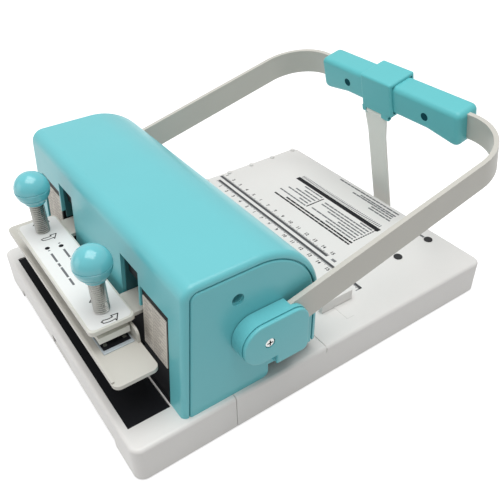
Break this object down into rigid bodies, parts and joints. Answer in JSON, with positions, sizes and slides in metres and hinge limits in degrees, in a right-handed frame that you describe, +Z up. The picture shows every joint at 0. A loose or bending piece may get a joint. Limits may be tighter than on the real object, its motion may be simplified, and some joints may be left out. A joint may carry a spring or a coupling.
{
  "type": "book binding punch",
  "caption": "Desktop binding punch: teal cover and bail handle over a flat paper deck, with a wire closer and ball-knob adjusters at the back.",
  "frame": {"origin": "on the table, under the middle of the object's bounding box", "axes": "+X along the cover to its right end, +Y towards the paper deck and grip, +Z up"},
  "size_m": [0.292, 0.3704, 0.1654],
  "materials": {
    "base_plastic": "fine satin moulded off-white",
    "cover_plastic": "smooth satin teal moulding",
    "cream_paint": "cream powder coat",
    "black_steel": "black powder coat",
    "bright_steel": "ground steel",
    "zinc_steel": "zinc plated",
    "floor_steel": "grey painted sheet",
    "bush_bronze": "sintered bronze",
    "foot_rubber": "matt black rubber",
    "pit_rubber": "matt black rubber sheet",
    "drawer_plastic": "satin off-white",
    "black_plastic": "satin black moulding",
    "label_card": "printed card under film",
    "strap_plastic": "grey cream strip"
  },
  "bodies": {
    "base": {"base_rear_shell": "base_plastic", "base_front_shell": "base_plastic", "floor_plate": "floor_steel", "floor_screws": "zinc_steel", "rubber_feet": "foot_rubber", "pit_mat": "pit_rubber", "deck_plugs": "foot_rubber", "die_plate": "bright_steel", "throat_stop_bar": "bright_steel", "stripper_plate": "bright_steel", "guide_posts": "bright_steel", "frame_back_plate": "black_steel", "frame_side_left": "black_steel", "frame_side_right": "black_steel", "shaft_bushes": "bush_bronze", "return_spring_left": "black_steel", "return_spring_right": "black_steel", "cover_skin": "cover_plastic", "end_plate_left": "cover_plastic", "end_plate_right": "cover_plastic", "cover_screws": "zinc_steel", "closer_bed": "cream_paint", "bed_screws": "zinc_steel", "closer_anvil": "bright_steel", "label_holders": "black_plastic", "label_plates": "label_card"},
    "handle": {"bail": "cream_paint", "grip_front": "cover_plastic", "grip_rear": "cover_plastic", "grip_screws": "zinc_steel", "saddle": "cover_plastic", "strap_pin": "bright_steel", "pivot_shaft": "bright_steel", "cam_left": "bright_steel", "cam_right": "bright_steel", "hub_cap_left": "cover_plastic", "hub_cap_right": "cover_plastic", "hub_screws": "zinc_steel"},
    "strap": {"hold_strap": "strap_plastic"},
    "ram": {"ram_bar": "bright_steel", "punch_pins": "bright_steel", "lift_bracket_left": "cream_paint", "lift_bracket_right": "cream_paint", "closer_plate": "cream_paint"},
    "press_bar": {"press_bar": "bright_steel"},
    "knob_left": {"knob_stud_left": "zinc_steel", "ball_knob_left": "cover_plastic"},
    "knob_right": {"knob_stud_right": "zinc_steel", "ball_knob_right": "cover_plastic"},
    "chip_drawer": {"chip_drawer": "drawer_plastic"},
    "paper_guide": {"paper_guide": "base_plastic", "guide_nut": "zinc_steel"}
  },
  "joints": [
    {"name": "handle_swing", "type": "hinge", "parent": "base", "child": "handle", "pos_m": [0, -0.08418, 0.08401], "axis": [1, 0, 0], "range_deg": [0, 80]},
    {"name": "strap_swing", "type": "hinge", "parent": "handle", "child": "strap", "pos_m": [-0.012, 0.15909, 0.12236], "axis": [1, 0, 0], "range_deg": [-4, 85]},
    {"name": "ram_lift", "type": "slide", "parent": "base", "child": "ram", "axis": [0, 0, 1], "range_m": [0, 0.0141]},
    {"name": "press_slide", "type": "slide", "parent": "ram", "child": "press_bar", "axis": [0, 0, 1], "range_m": [-0.00455, 0.00155]},
    {"name": "knob_left_turn", "type": "hinge", "parent": "press_bar", "child": "knob_left", "pos_m": [-0.0575, -0.16218, 0.13], "axis": [0, 0, 1], "range_deg": [-925, 308]},
    {"name": "knob_right_turn", "type": "hinge", "parent": "press_bar", "child": "knob_right", "pos_m": [0.0575, -0.16218, 0.13], "axis": [0, 0, 1], "range_deg": [-926, 309]},
    {"name": "drawer_slide", "type": "slide", "parent": "base", "child": "chip_drawer", "axis": [0, -1, 0], "range_m": [0, 0.1]},
    {"name": "guide_slide", "type": "slide", "parent": "base", "child": "paper_guide", "axis": [1, 0, 0], "range_m": [-0.008, 0.008]}
  ],
  "couplings": [
    {"joint": "ram_lift", "follows": "handle_swing", "m_per_rad": 0.010027},
    {"joint": "press_slide", "follows": "knob_left_turn", "m_per_rad": 0.00027852},
    {"joint": "knob_right_turn", "follows": "knob_left_turn", "ratio": 1}
  ]
}
